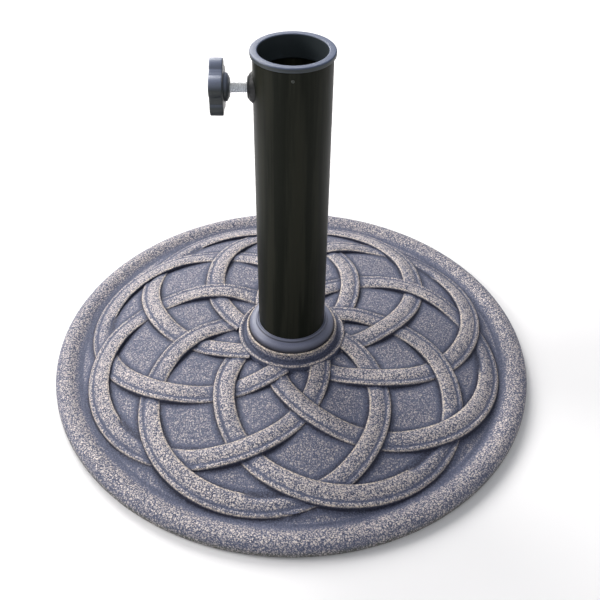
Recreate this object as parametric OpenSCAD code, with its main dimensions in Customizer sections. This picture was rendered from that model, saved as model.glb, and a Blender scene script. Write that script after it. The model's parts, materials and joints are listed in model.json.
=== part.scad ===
// Parasol base: a round iron casting with a knotwork rosette, carrying a steel
// tube that takes the parasol pole. A star knob on the left clamps the pole.
// Origin: centre of the footprint, on the ground. +Z is up, the knob is at -X.

/* [Casting] */
// Outer diameter of the casting
base_d = 420; // [400:5:460]
// Height of the knotwork's flat middle above the ground
dome_top = 30.3; // [29:0.1:32]
// Radius of the flat middle, where the dome starts to fall
dome_flat_r = 75; // [70:1:80]
// Radius of the arc that the dome falls along
dome_arc_r = 340; // [330:5:360]
// Height of the knotwork bands above the sunken field
relief_h = 3.2; // [2.5:0.1:3.5]
// Radius of the rounded rim's own section
rim_r = 8; // [7:0.1:9]
// Height of the rim's widest point above the ground
rim_z = 4.5; // [4:0.1:5]
// Radius of the gentler curve that the rim falls inwards on
rim_slope_r = 14; // [12:0.5:14]
// Thickness of the iron over the hollow underside
wall_t = 7; // [6:0.1:7.5]
// Number of ribs under the casting, each with a foot
rib_n = 6; // [4:1:8]
// Thickness of each rib
rib_t = 7; // [5:0.5:9]

/* [Knotwork] */
// Number of interlaced rings
loop_n = 8; // [6:1:10]
// Radius of each ring's centre line
loop_r = 95.3; // [92:0.1:98]
// Distance of each ring's centre from the middle
loop_offset = 81; // [78:0.1:83]
// Width of the band that each ring is made of
band_w = 18; // [14:0.5:20]
// Turn of the whole rosette about the middle, in degrees
loop_phase = 29.2; // [0:0.1:45]

/* [Hub] */
// Outer radius of the hub
hub_r = 47; // [45:0.5:49]
// Height of the hub's outer bead
hub_z = 32; // [31.5:0.1:33]
// Radius of the bright bead round the trim ring
bead_r = 38.8; // [38.5:0.1:40]
// Height of the bright bead
bead_z = 39.3; // [38:0.1:41]
// Height of the machined seat that the tube stands on
seat_z = 34; // [33:0.1:35]
// Thickness of the iron under the seat
web_t = 10; // [8:0.5:11]

/* [Tube] */
// Outer diameter of the tube
tube_d = 57; // [56:0.5:58]
// Wall thickness of the tube
tube_t = 1.5; // [1.2:0.1:2]
// Height of the collar's top face above the ground
total_h = 295; // [280:1:340]
// Diameter of the hole that the parasol pole drops into
pole_hole_d = 49.6; // [48.6:0.1:50]
// Diameter of the collar's flange
collar_d = 60.4; // [60:0.1:62]
// Thickness of the collar's flange
collar_t = 3.5; // [3:0.1:5]
// Length of the collar's skirt inside the tube
skirt_l = 15; // [10:0.5:15]

/* [Clamp] */
// Height of the clamp screw's axis above the ground
clamp_z = 266.5; // [262:0.5:267]
// Nominal diameter of the clamp screw
screw_d = 8; // [6:1:8]
// Lift of the screw thread in one turn
screw_pitch = 1.25; // [1:0.25:1.5]
// Distance from the tube's axis to the pad's tip, with the screw let out
pad_tip = 25.1; // [25:0.1:26]
// Diameter of the round nut welded to the tube
clamp_nut_d = 16; // [15:0.5:17]
// Diameter of the weld bead round that nut, where it leaves the tube
weld_d = 23; // [21:0.5:24]
// Distance from the tube's axis to the knob's outer face
knob_face = 58.3; // [57:0.1:62]
// Diameter of the knob across its lobes
knob_d = 41; // [38:0.5:44]
// Thickness of the knob's lobed head
knob_t = 9.6; // [9:0.1:11]
// Number of lobes on the knob
lobe_n = 5; // [5:1:7]
// Angle of the first lobe from straight up, towards the front, in degrees
lobe_turn = 63; // [0:1:72]

/* [Foot stack] */
// Nominal diameter of the centre bolt
bolt_d = 12; // [10:1:12]
// Diameter of the steel plate under the hub
plate_d = 70; // [60:1:71]
// Distance of the feet from the middle
foot_r = 165; // [155:1:168]
// Diameter of each rubber foot
foot_d = 24; // [20:1:26]

/* [Hidden] */
$fn = 96;

// Gap left where one steel or plastic piece slips into another
slip = 0.08;
// Gap round a turning shaft
running = 0.05;
// How far a cutter reaches past the face that it cuts
over = 1;

base_r = base_d / 2;
casting_z = 1;
shoulder_r = base_r - 15;
groove_z = 7.5;
field_top = dome_top - relief_h;
under_top = field_top - wall_t;
cavity_r = base_r - 32;
rim_centre = base_r - rim_r;
slope_centre = base_r - 13;
slope_z = 12 - rim_slope_r;
// Where the knotwork ends, just inside the rim
knot_r = base_r - 22;
// Rounding of the hub's outer bead and of the bright bead
hub_round_r = 1.5;
bead_round_r = 0.9;

web_z = seat_z - web_t;
plate_t = 4;
spring_t = 3;
bolt_head_t = 7.5;
bolt_head_af = 19;
bolt_hole_r = bolt_d / 2 + 0.5;
spring_slit = 1.6;
plate_z = web_z - plate_t;
spring_z = plate_z - spring_t;
bolt_head_z = spring_z - bolt_head_t;
pocket_r = plate_d / 2 + 0.5;
ring_wall_r = pocket_r + 8;

gasket_t = 2;
tube_z = seat_z + gasket_t;
tube_top = total_h - collar_t;
tube_r = tube_d / 2;
tube_in = tube_r - tube_t;
plug_t = 6;
nut_t = 10;
nut_af = 19;
nut_z = tube_z + plug_t;
bolt_top = nut_z + nut_t + 2;
pole_r = pole_hole_d / 2;

bush_z = nut_z;
bush_floor_z = bolt_top + 3;
bush_floor_t = 3;
bush_top = bush_floor_z + bush_floor_t + 24;
bush_drain_r = 8;
bush_core_r = pole_r - 3;

trim_in = tube_r + 0.1;
trim_out = bead_r - 1.4;
trim_top = seat_z + 14.2;
trim_shoulder_r = 5;
trim_crown_r = 6;
trim_shoulder_z = trim_top - 3 - trim_shoulder_r;
// The cover is hollow below this height, out to this radius
trim_hollow_z = seat_z + 8;
trim_hollow_r = tube_r + 5;

rivet_n = 3;
rivet_r = 1.2;
rivet_z = total_h - 10;
rivet_head_t = 0.35;
rivet_in = pole_r + 0.4;

nut_face = tube_r + 3.6;
nut_inner = pole_r + 0.6;
nut_body_r = clamp_nut_d / 2 - 1;
nut_flange_t = 1.6;
// Where the weld bead starts inside the tube's curve, and its width at the nut
weld_x = tube_r - 5;
weld_top_r = clamp_nut_d / 2 + 1.2;
pad_r = 3;
pad_head_t = 2;
pad_stem_r = 1.5;
pad_stem_l = 4;
screw_tip = pad_tip + pad_head_t + running;
screw_r = screw_d / 2;
screw_head_af = 13;
screw_head_t = 5.3;
cap_t = 1.3;
cap_r = 9;
screw_head_x = knob_face - cap_t - screw_head_t;
knob_hub_r = 10;
knob_hub_l = 4.3;
lobe_r = 7.8;
valley_r = 6.5;
knob_body_r = knob_d / 2 - 3.9;
valley_centre = knob_d / 2 + 2.4;

foot_t = 5;
foot_recess = 3.2;
foot_recess_r = 6.5;
foot_washer_t = 1;
foot_screw_r = 2.5;
foot_screw_head_r = 4.6;
foot_screw_head_t = 1.6;
foot_screw_end = 11;
foot_boss_r = foot_d / 2 + 1.5;
foot_hole_r = foot_screw_r + 0.2;
cross_l = 4.8;
cross_w = 1;
cross_t = 1.4;
// Lower edge of the ribs and of the wall round the pocket
rib_z = casting_z + 3;
// The ribs are cut away round each foot, which stands on its boss
foot_clear_r = foot_d / 2 + 0.5;

// Distance across the corners of a hexagon, halved
function hex_r(across_flats) = across_flats / sqrt(3);

// Turns a piece drawn along +Z so that it runs along -X at the clamp's height
module on_clamp_axis() {
  translate([0, 0, clamp_z])
    rotate([0, -90, 0])
      children();
}

// Repeats a piece under each rib
module at_feet() {
  for (i = [0 : rib_n - 1])
    rotate([0, 0, (i + 0.5) * 360 / rib_n])
      translate([foot_r, 0, 0])
        children();
}

// Half section of a dome: flat in the middle, then falling along one arc
module dome_section(top, reach, floor_z) {
  intersection() {
    translate([0, floor_z])
      square([reach, top - floor_z]);
    union() {
      square([dome_flat_r, top]);
      translate([dome_flat_r, top - dome_arc_r])
        circle(dome_arc_r, $fn = 720);
    }
  }
}

module ring(r_out, r_in, h) {
  difference() {
    cylinder(h = h, r = r_out);
    translate([0, 0, -over])
      cylinder(h = h + 2 * over, r = r_in);
  }
}

// The eight flat bands of the rosette, seen from above
module rosette_outline() {
  for (i = [0 : loop_n - 1])
    rotate(loop_phase + i * 360 / loop_n)
      translate([loop_offset, 0])
        difference() {
          circle(loop_r + band_w / 2);
          circle(loop_r - band_w / 2);
        }
}

module rosette() {
  intersection() {
    translate([0, 0, groove_z])
      linear_extrude(height = dome_top)
        rosette_outline();
    rotate_extrude()
      dome_section(dome_top, knot_r, casting_z);
  }
}

// Rounded rim, shallow groove, sunken field and hub, turned as one shape
module turned_body() {
  rotate_extrude() {
    dome_section(field_top, shoulder_r, casting_z);
    translate([0, casting_z])
      square([shoulder_r, groove_z - casting_z]);
    intersection() {
      union() {
        translate([rim_centre, rim_z])
          circle(rim_r);
        translate([slope_centre, slope_z])
          circle(rim_slope_r);
      }
      translate([0, casting_z])
        square([base_r, 2 * rim_r]);
    }
    square([hub_r - hub_round_r, hub_z]);
    translate([hub_r - hub_round_r, hub_z - hub_round_r])
      circle(hub_round_r);
    square([bead_r, bead_z - bead_round_r]);
    translate([bead_r - 0.1, bead_z - bead_round_r])
      circle(bead_round_r);
  }
}

// Hollow under the dome, with the ribs, the hub ring and the foot bosses left in
module underside() {
  difference() {
    rotate_extrude()
      dome_section(under_top, cavity_r, -over);
    cylinder(h = dome_top, r = ring_wall_r);
    for (i = [0 : rib_n - 1])
      rotate([0, 0, (i + 0.5) * 360 / rib_n])
        translate([0, -rib_t / 2, rib_z])
          cube([cavity_r + over, rib_t, dome_top]);
    at_feet()
      translate([0, 0, foot_t])
        cylinder(h = dome_top, r = foot_boss_r);
  }
}

module base_casting() {
  color([0.46, 0.45, 0.49])
    difference() {
      union() {
        turned_body();
        rosette();
      }
      underside();
      // pocket for the steel plate, bolt head and spring washer
      translate([0, 0, -over])
        cylinder(h = web_z + over, r = pocket_r);
      // clearance hole for the centre bolt
      cylinder(h = dome_top + bead_z, r = bolt_hole_r);
      // seat for the tube and the trim ring
      translate([0, 0, seat_z])
        cylinder(h = bead_z, r = trim_out + 0.2);
      // open the ring wall to the ground
      translate([0, 0, -over])
        cylinder(h = rib_z + over, r = ring_wall_r + over);
      at_feet() {
        cylinder(h = foot_screw_end + 1, r = foot_screw_r);
        translate([0, 0, -over])
          cylinder(h = foot_t + over, r = foot_clear_r);
      }
    }
}

module foot_pads() {
  color([0.09, 0.09, 0.09])
    at_feet()
      difference() {
        cylinder(h = foot_t, r = foot_d / 2);
        translate([0, 0, -over])
          cylinder(h = foot_recess + over, r = foot_recess_r);
        cylinder(h = foot_t + over, r = foot_hole_r);
      }
}

module foot_washers() {
  color([0.72, 0.73, 0.74])
    at_feet()
      translate([0, 0, foot_recess - foot_washer_t])
        ring(foot_recess_r - 0.5, foot_hole_r, foot_washer_t);
}

module foot_screws() {
  color([0.75, 0.76, 0.78])
    at_feet()
      difference() {
        union() {
          translate([0, 0, foot_recess - foot_washer_t - foot_screw_head_t])
            cylinder(h = foot_screw_head_t, r = foot_screw_head_r);
          translate([0, 0, foot_recess - foot_washer_t])
            cylinder(h = foot_screw_end - foot_recess + foot_washer_t, r = foot_screw_r);
        }
        // cross recess in the head
        for (turn = [0, 90])
          rotate([0, 0, turn])
            translate([-cross_l / 2, -cross_w / 2, 0])
              cube([cross_l, cross_w, cross_t]);
      }
}

module centre_bolt() {
  color([0.74, 0.75, 0.77]) {
    translate([0, 0, bolt_head_z])
      cylinder(h = bolt_head_t, r = hex_r(bolt_head_af), $fn = 6);
    translate([0, 0, bolt_head_z + bolt_head_t])
      cylinder(h = bolt_top - bolt_head_z - bolt_head_t, r = bolt_d / 2);
  }
}

// One coil of square spring steel, cut through so that its ends can spread
module spring_washer() {
  color([0.35, 0.35, 0.36])
    translate([0, 0, spring_z])
      difference() {
        ring(bolt_d / 2 + 4.5, bolt_d / 2 + 0.3, spring_t);
        translate([0, -spring_slit / 2, -over])
          cube([bolt_d, spring_slit, spring_t + 2 * over]);
      }
}

module clamp_plate() {
  color([0.6, 0.61, 0.63])
    translate([0, 0, plate_z])
      ring(plate_d / 2, bolt_hole_r, plate_t);
}

module hub_gasket() {
  color([0.07, 0.07, 0.07])
    translate([0, 0, seat_z])
      ring(tube_r, bolt_hole_r, gasket_t);
}

module stand_tube() {
  color([0.11, 0.12, 0.1])
    difference() {
      translate([0, 0, tube_z])
        ring(tube_r, tube_in, tube_top - tube_z);
      on_clamp_axis()
        cylinder(h = tube_r + over, r = nut_body_r);
      for (i = [0 : rivet_n - 1])
        rotate([0, 0, -90 + i * 360 / rivet_n])
          translate([0, 0, rivet_z])
            rotate([0, 90, 0])
              cylinder(h = tube_r + over, r = rivet_r);
    }
}

module tube_plug() {
  color([0.5, 0.5, 0.52])
    translate([0, 0, tube_z])
      ring(tube_in, bolt_d / 2 + 0.3, plug_t);
}

module plug_nut() {
  color([0.62, 0.63, 0.65])
    translate([0, 0, nut_z])
      difference() {
        cylinder(h = nut_t, r = hex_r(nut_af), $fn = 6);
        translate([0, 0, -over])
          cylinder(h = nut_t + 2 * over, r = bolt_d / 2);
      }
}

// Plastic cup that centres the pole's end and keeps it off the bolt
module lower_bush() {
  color([0.13, 0.13, 0.14])
    difference() {
      translate([0, 0, bush_z])
        cylinder(h = bush_top - bush_z, r = tube_in - slip);
      translate([0, 0, bush_floor_z + bush_floor_t])
        cylinder(h = bush_top, r = pole_r);
      translate([0, 0, bush_z - over])
        cylinder(h = bush_floor_z - bush_z + over, r = bush_core_r);
      translate([0, 0, bush_z])
        cylinder(h = bush_top, r = bush_drain_r);
    }
}

// Domed plastic cover over the joint between the tube and the casting
module trim_ring() {
  color([0.5, 0.52, 0.57])
    rotate_extrude()
      difference() {
        union() {
          translate([0, seat_z])
            square([trim_out, trim_shoulder_z - seat_z]);
          translate([0, seat_z])
            square([trim_out - trim_shoulder_r, trim_shoulder_z + trim_shoulder_r - seat_z]);
          translate([trim_out - trim_shoulder_r, trim_shoulder_z])
            circle(trim_shoulder_r);
          intersection() {
            translate([tube_r - 3, trim_top - trim_crown_r])
              circle(trim_crown_r);
            translate([0, seat_z])
              square([trim_out, trim_top - seat_z]);
          }
        }
        translate([0, seat_z - over])
          square([trim_in, trim_top]);
        translate([0, seat_z - over])
          square([trim_hollow_r, trim_hollow_z - seat_z + over]);
      }
}

// Plastic bush in the tube's mouth, with a flange over the cut end
module collar() {
  color([0.55, 0.57, 0.62])
    difference() {
      union() {
        translate([0, 0, tube_top])
          cylinder(h = collar_t, r = collar_d / 2);
        translate([0, 0, tube_top - skirt_l])
          cylinder(h = skirt_l, r = tube_in - slip);
      }
      translate([0, 0, tube_top - skirt_l - over])
        cylinder(h = skirt_l + collar_t + 2 * over, r = pole_r);
      for (i = [0 : rivet_n - 1])
        rotate([0, 0, -90 + i * 360 / rivet_n])
          translate([0, 0, rivet_z])
            rotate([0, 90, 0])
              cylinder(h = tube_r + over, r = rivet_r);
    }
}

// Small pins that hold the collar in the tube, a third of a turn apart
module collar_rivets() {
  color([0.4, 0.41, 0.4])
    for (i = [0 : rivet_n - 1])
      rotate([0, 0, -90 + i * 360 / rivet_n])
        translate([rivet_in, 0, rivet_z])
          rotate([0, 90, 0])
            cylinder(h = tube_r + rivet_head_t - rivet_in, r = rivet_r);
}

// Round threaded nut let into the tube wall
module clamp_nut() {
  color([0.12, 0.12, 0.12])
    on_clamp_axis()
      difference() {
        union() {
          translate([0, 0, nut_inner])
            cylinder(h = nut_face - nut_inner, r = nut_body_r);
          translate([0, 0, nut_face - nut_flange_t])
            cylinder(h = nut_flange_t, r = clamp_nut_d / 2);
        }
        cylinder(h = nut_face + over, r = screw_r + running);
      }
}

// Weld bead that fills the corner between the nut and the tube
module nut_weld() {
  color([0.08, 0.08, 0.08])
    difference() {
      on_clamp_axis()
        union() {
          translate([0, 0, weld_x])
            cylinder(h = tube_r - weld_x, r = weld_d / 2);
          translate([0, 0, tube_r])
            cylinder(h = nut_face - nut_flange_t - tube_r, r1 = weld_d / 2, r2 = weld_top_r);
        }
      cylinder(h = tube_top, r = tube_r);
      on_clamp_axis()
        cylinder(h = nut_face, r = nut_body_r);
    }
}

// Nylon tip that swivels in the screw's end and bears on the pole
module pressure_pad() {
  color([0.85, 0.85, 0.82])
    on_clamp_axis() {
      translate([0, 0, pad_tip])
        cylinder(h = pad_head_t, r = pad_r);
      translate([0, 0, pad_tip + pad_head_t])
        cylinder(h = pad_stem_l, r = pad_stem_r);
    }
}

module clamp_screw() {
  color([0.78, 0.8, 0.83])
    on_clamp_axis()
      difference() {
        union() {
          // the tip is chamfered down to the depth of the thread
          translate([0, 0, screw_tip])
            cylinder(h = screw_pitch, r1 = screw_r - 0.6 * screw_pitch, r2 = screw_r);
          translate([0, 0, screw_tip + screw_pitch])
            cylinder(h = screw_head_x - screw_tip - screw_pitch, r = screw_r);
          translate([0, 0, screw_head_x])
            cylinder(h = screw_head_t, r = hex_r(screw_head_af), $fn = 6);
        }
        translate([0, 0, screw_tip - over])
          cylinder(h = pad_stem_l + 0.5 + over, r = pad_stem_r + running);
      }
}

// Outline of the knob's head: round lobes joined by round valleys
module star_outline() {
  lobe_c = knob_d / 2 - lobe_r;
  difference() {
    union() {
      circle(knob_body_r);
      for (i = [0 : lobe_n - 1])
        rotate(i * 360 / lobe_n)
          translate([lobe_c, 0])
            circle(lobe_r);
    }
    for (i = [0 : lobe_n - 1])
      rotate((i + 0.5) * 360 / lobe_n)
        translate([valley_centre, 0])
          circle(valley_r);
  }
}

module knob() {
  color([0.25, 0.26, 0.3])
    on_clamp_axis()
      difference() {
        union() {
          translate([0, 0, knob_face - knob_t])
            linear_extrude(height = knob_t)
              rotate(-lobe_turn)
                star_outline();
          translate([0, 0, knob_face - knob_t - knob_hub_l])
            cylinder(h = knob_hub_l, r = knob_hub_r);
        }
        translate([0, 0, knob_face - knob_t - knob_hub_l - over])
          cylinder(h = knob_t + knob_hub_l, r = screw_r);
        translate([0, 0, screw_head_x])
          cylinder(h = screw_head_t + over, r = hex_r(screw_head_af), $fn = 6);
        translate([0, 0, knob_face - cap_t])
          cylinder(h = cap_t + over, r = cap_r);
      }
}

module knob_cap() {
  color([0.22, 0.23, 0.26])
    on_clamp_axis()
      translate([0, 0, knob_face - cap_t])
        cylinder(h = cap_t, r = cap_r - slip);
}

base_casting();
foot_pads();
foot_washers();
foot_screws();
centre_bolt();
spring_washer();
clamp_plate();
hub_gasket();
stand_tube();
tube_plug();
plug_nut();
lower_bush();
trim_ring();
collar();
collar_rivets();
clamp_nut();
nut_weld();
pressure_pad();
clamp_screw();
knob();
knob_cap();
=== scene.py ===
# %% [markdown]
# # A cast iron parasol base
# The object is a heavy round casting with a woven rosette, a black steel tube that takes
# the parasol's pole, and a star knob that clamps it. The working model is already packed:
# it fixes every size, every place and everything that moves. Here each of its pieces gets
# the finished shape and surface that the working model leaves out.

# %% Load the working model
import json
import math

import bmesh
import bpy
import numpy as np
from mathutils import Matrix, Vector
from mathutils.kdtree import KDTree

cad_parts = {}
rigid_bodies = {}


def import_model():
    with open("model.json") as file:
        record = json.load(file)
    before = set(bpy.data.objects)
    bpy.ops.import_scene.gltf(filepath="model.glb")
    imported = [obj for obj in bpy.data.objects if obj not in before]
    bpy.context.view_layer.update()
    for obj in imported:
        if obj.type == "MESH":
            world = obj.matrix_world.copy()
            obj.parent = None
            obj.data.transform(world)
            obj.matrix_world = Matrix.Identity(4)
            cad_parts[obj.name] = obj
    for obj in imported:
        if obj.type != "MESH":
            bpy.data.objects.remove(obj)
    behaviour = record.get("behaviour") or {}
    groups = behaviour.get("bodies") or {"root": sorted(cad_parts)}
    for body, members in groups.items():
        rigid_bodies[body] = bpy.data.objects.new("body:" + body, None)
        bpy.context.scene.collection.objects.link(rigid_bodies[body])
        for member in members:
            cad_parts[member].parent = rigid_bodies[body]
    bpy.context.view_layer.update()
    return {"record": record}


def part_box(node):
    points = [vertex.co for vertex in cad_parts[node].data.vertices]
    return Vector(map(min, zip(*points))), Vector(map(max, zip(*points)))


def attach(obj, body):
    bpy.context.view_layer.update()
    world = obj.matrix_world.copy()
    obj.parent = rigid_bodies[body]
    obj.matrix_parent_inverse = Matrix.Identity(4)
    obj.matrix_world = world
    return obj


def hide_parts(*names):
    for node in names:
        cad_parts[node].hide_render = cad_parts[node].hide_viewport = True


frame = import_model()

MM = 0.001

# %% [markdown]
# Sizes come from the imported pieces, so that a change to the working model moves the looks
# with it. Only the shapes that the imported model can't tell, such as the course of the
# woven bands, are stated as driving numbers further down.

# %% Read the places of the main pieces, in millimetres
def span(node):
    """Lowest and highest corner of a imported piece, in millimetres."""
    low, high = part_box(node)
    return low / MM, high / MM

base_r = span("base_casting")[1].x
casting_z = span("base_casting")[0].z
tube_low, tube_high = span("stand_tube")
tube_r = tube_high.x
collar_low, collar_high = span("collar")
flange_r = collar_high.x
clamp_z = (span("clamp_screw")[0].z + span("clamp_screw")[1].z) / 2
knob_low, knob_high = span("knob")
bores = {mount["name"]: mount for mount in frame["record"]["mounts"]}
pole_r = bores["pole_collar"]["dims"]["r_mm"]
print(f"base radius {base_r:.0f}, tube radius {tube_r:.1f}, pole hole radius {pole_r:.1f}")

# %% [markdown]
# ## Tools for making pieces
# Most of this object is turned work, so the main tool spins an outline about the tube's
# axis. Blender's screw modifier could do it too. Plain code is used because the outline is
# then a list of (radius, height) points that a reader can compare with a drawing.

# %% Outlines and spinning
def arc(centre_r, centre_z, radius, start, end, steps):
    """Points along an arc of an outline, between two angles in degrees."""
    angles = np.radians(np.linspace(start, end, steps + 1))
    return [(centre_r + radius * math.cos(a), centre_z + radius * math.sin(a)) for a in angles]

def spin(outline, steps=128):
    """Spins a closed outline about the upright axis."""
    count = len(outline)
    verts = []
    faces = []
    for k in range(steps):
        turn = 2 * math.pi * k / steps
        verts += [(r * math.cos(turn), r * math.sin(turn), z) for r, z in outline]
        following = (k + 1) % steps
        for i in range(count):
            j = (i + 1) % count
            faces.append((k * count + i, following * count + i, following * count + j, k * count + j))
    return verts, faces

def skin(rings, closed=True):
    """Joins rings of equal length, one after the other, and caps both ends."""
    count = len(rings[0])
    verts = [point for ring in rings for point in ring]
    faces = []
    for k in range(len(rings) - 1):
        for i in range(count if closed else count - 1):
            j = (i + 1) % count
            faces.append((k * count + i, k * count + j, (k + 1) * count + j, (k + 1) * count + i))
    faces.append(tuple(reversed(range(count))))
    faces.append(tuple(range((len(rings) - 1) * count, len(rings) * count)))
    return verts, faces

# %% [markdown]
# A mesh made from lists needs cleaning: points that fall together on the axis are merged,
# and the faces are turned to look outwards.

# %% Turning lists into clean meshes
def build(name, parts):
    """Makes one object from one or more (verts, faces) pairs given in millimetres."""
    bm = bmesh.new()
    for verts, faces in parts:
        made = [bm.verts.new(Vector(v) * MM) for v in verts]
        for face in faces:
            bm.faces.new([made[i] for i in face])
    bmesh.ops.remove_doubles(bm, verts=bm.verts, dist=1e-7)
    bmesh.ops.dissolve_degenerate(bm, edges=bm.edges, dist=1e-7)
    bmesh.ops.recalc_face_normals(bm, faces=bm.faces)
    mesh = bpy.data.meshes.new(name)
    bm.to_mesh(mesh)
    bm.free()
    piece = bpy.data.objects.new(name, mesh)
    bpy.context.scene.collection.objects.link(piece)
    return piece

def combine(piece, tools, how="UNION"):
    """Joins or cuts a piece with others, which are used up."""
    for tool in tools:
        step = piece.modifiers.new("combine", "BOOLEAN")
        step.solver = "MANIFOLD"
        step.operation = how
        step.object = tool
    bpy.context.view_layer.update()
    shape = piece.evaluated_get(bpy.context.evaluated_depsgraph_get())
    mesh = bpy.data.meshes.new_from_object(shape)
    piece.modifiers.clear()
    piece.data = mesh
    for tool in tools:
        bpy.data.objects.remove(tool)
    return piece

def onto_clamp_axis(verts):
    """Lays points drawn along +Z down along -X, at the clamp screw's height."""
    return [(-z, y, x + clamp_z) for x, y, z in verts]

def clamp_part(name, solid):
    """Builds a solid that was drawn along +Z on the clamp screw's axis."""
    verts, faces = solid
    return build(name, [(onto_clamp_axis(verts), faces)])

# %% [markdown]
# Paint wears off corners first. How sharp each corner sticks out is measured once on the
# finished mesh and kept as a number at each point, which the materials read. Each point
# also keeps how far it faces up, which the materials use for a painted sky reflection:
# up-facing plastic and plating are painted lighter.

# %% Measure the corners and finish a piece
def mark_corners(mesh):
    """Stores, for each point, how sharply its surroundings fall away: 0 flat, 1 a corner."""
    bm = bmesh.new()
    bm.from_mesh(mesh)
    sharp = np.zeros(len(bm.verts), np.float32)
    for edge in bm.edges:
        if len(edge.link_faces) == 2 and edge.is_convex:
            turn = edge.calc_face_angle(0.0) / math.radians(60)
            for vert in edge.verts:
                sharp[vert.index] = max(sharp[vert.index], min(1.0, turn))
    bm.free()
    mesh.attributes.new("corner", "FLOAT", "POINT").data.foreach_set("value", sharp)

def mark_painted_sky_reflection(mesh):
    """Writes how much each point faces the sky, from 0 for sideways or down to 1 for up."""
    normals = np.empty(len(mesh.vertices) * 3, np.float32)
    mesh.vertex_normals.foreach_get("vector", normals)
    upward = normals.reshape(-1, 3)[:, 2]
    # The materials lighten each point by this number towards a set colour: a painted sky reflection on
    # up-facing surfaces.
    layer = mesh.attributes.new("painted_sky_reflection", "FLOAT", "POINT")
    layer.data.foreach_set("value", np.clip((upward - 0.1) / 0.8, 0, 1).astype(np.float32))

def finish_piece(piece, nodes, body, material, crease=35):
    """Shades a piece, gives it its material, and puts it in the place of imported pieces."""
    mark_corners(piece.data)
    mark_painted_sky_reflection(piece.data)
    piece.data.shade_smooth()
    piece.data.set_sharp_from_angle(angle=math.radians(crease))
    piece.data.materials.clear()
    piece.data.materials.append(material)
    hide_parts(*nodes)
    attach(piece, body)
    print(f"{piece.name}: {len(piece.data.vertices)} points on body {body}")
    return piece

# %% [markdown]
# ## The iron casting
# The casting is the heart of this object: a shallow dome with a rosette of eight woven
# rings inside a round rim. It could be sculpted, but the rosette is exact geometry, so it
# is swept from its own section: each ring is a circle seen from above, and its band rises
# and dips as it passes over and under its neighbours. The dome, rim and hub are turned.

# %% The height of the dome
dome_top = 30.3
dome_flat_r = 75
dome_arc_r = 340
relief = 3.6
wall_t = 7

def dome(r):
    """Height of the woven bands at a distance from the middle."""
    past = np.clip(np.asarray(r, float) - dome_flat_r, 0, None)
    return dome_top - (dome_arc_r - np.sqrt(dome_arc_r**2 - past**2))

print("the dome is", dome_top, "mm high in the middle and", round(float(dome(180)), 1), "at the rim")

# %% [markdown]
# Each ring meets its four neighbours on either side. Counted outwards from its tip, the
# crossings alternate between over and under, and the two sides are opposite. That one rule
# weaves all eight rings. Between crossings the height changes smoothly.

# %% Where a ring crosses its neighbours, and how high it runs
ring_n = 8
ring_r = 95.3
ring_offset = 81
ring_turn = 29.2
half_band = 9.1
lift_over = 1.2
dip_under = -1.8
ring_end = 152.5

def crossing(k):
    """Angle along a ring, and the slant of the crossing, at the k-th neighbour."""
    polar = math.pi * k / ring_n
    out = ring_offset * math.cos(polar) + math.sqrt(ring_r**2 - (ring_offset * math.sin(polar)) ** 2)
    along = math.atan2(out * math.sin(polar), out * math.cos(polar) - ring_offset)
    slant = 2 * (along - polar)
    return math.degrees(along), abs(math.sin(slant))

knots = []
for k in (-4, -3, -2, -1, 1, 2, 3, 4):
    along, slant = crossing(abs(k))
    along = math.copysign(along, k)
    over = (k % 2 == 0) == (k > 0)
    near_hub = abs(k) == 4
    height = (0.3 if near_hub else lift_over) if over else (-1.5 if near_hub else dip_under)
    level = math.degrees(half_band / max(slant, 0.6) / ring_r)
    knots += [(along - level, height), (along + level, height)]
knot_t = np.array([t for t, _ in knots])
knot_z = np.array([z for _, z in knots])

def wave(t):
    """Rise or dip of a band, at an angle along its ring in degrees."""
    place = np.interp(t, knot_t, np.arange(len(knot_t)))
    low = np.clip(np.floor(place).astype(int), 0, len(knot_t) - 2)
    part = place - low
    part = part * part * (3 - 2 * part)
    return knot_z[low] + part * (knot_z[low + 1] - knot_z[low])

print("crossings at", [round(crossing(k)[0]) for k in (1, 2, 3, 4)], "degrees along a ring")

# %% [markdown]
# The band's section has a crowned body, a small groove, and a narrow ledge on the ring's
# outer side. Its two edges are rubbed bare, and the groove takes almost no gilt, which the
# materials use. Its steep side walls get a value below zero, which is painted shade. Past
# each tip the inner edge melts into the field between the rings.

# %% The section of a band, where it is rubbed and gilded, and the painted shade on its walls
inner_edge, outer_edge = -8.1, 8.4
groove_u = 4.9

def swell(start, end, rise, count):
    """A low arch between two places across the band, standing on the groove's level."""
    across = np.linspace(-1, 1, count)
    middle, half = (start + end) / 2, (end - start) / 2
    return [(middle + half * v, -1.0 + rise * (1 - v * v)) for v in across]

section = [(-9.6, -5.9), (-9.1, -2.2), (-8.6, -1.3)]
section += swell(inner_edge, groove_u - 0.4, 1.3, 9)
section += swell(groove_u + 0.4, outer_edge, 0.4, 5)
section += [(8.8, -1.4), (9.1, -2.2), (9.6, -5.9)]
band_u, band_z = np.array(section).T

def hump(centre, width):
    """1 at a place across the band, and falling to 0 away from it."""
    return np.exp(-(((band_u - centre) / width) ** 2))

band_rub = 0.9 * hump(inner_edge, 0.5) + 0.9 * hump(outer_edge, 0.4)
# Painted shade: the steep side walls get a value below zero, which darkens them.
band_catch_and_wall_shade = np.where(np.abs(band_u) > 8.7, -0.45, 1 - 0.95 * hump(groove_u, 0.8))

def smooth(low, high, value):
    """0 below low, 1 above high, and a smooth change between."""
    part = np.clip((np.asarray(value, float) - low) / (high - low), 0, 1)
    return part * part * (3 - 2 * part)

def band_height(r, u, t):
    """Height of a band's surface, from the middle's distance and the place on the band."""
    melt = smooth(4, 12, t) * (1 - smooth(30, 38, t)) * smooth(0.5, 8.5, -np.asarray(u))
    return dome(r) + np.interp(u, band_u, band_z) - 2.1 * melt + wave(t)

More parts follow.
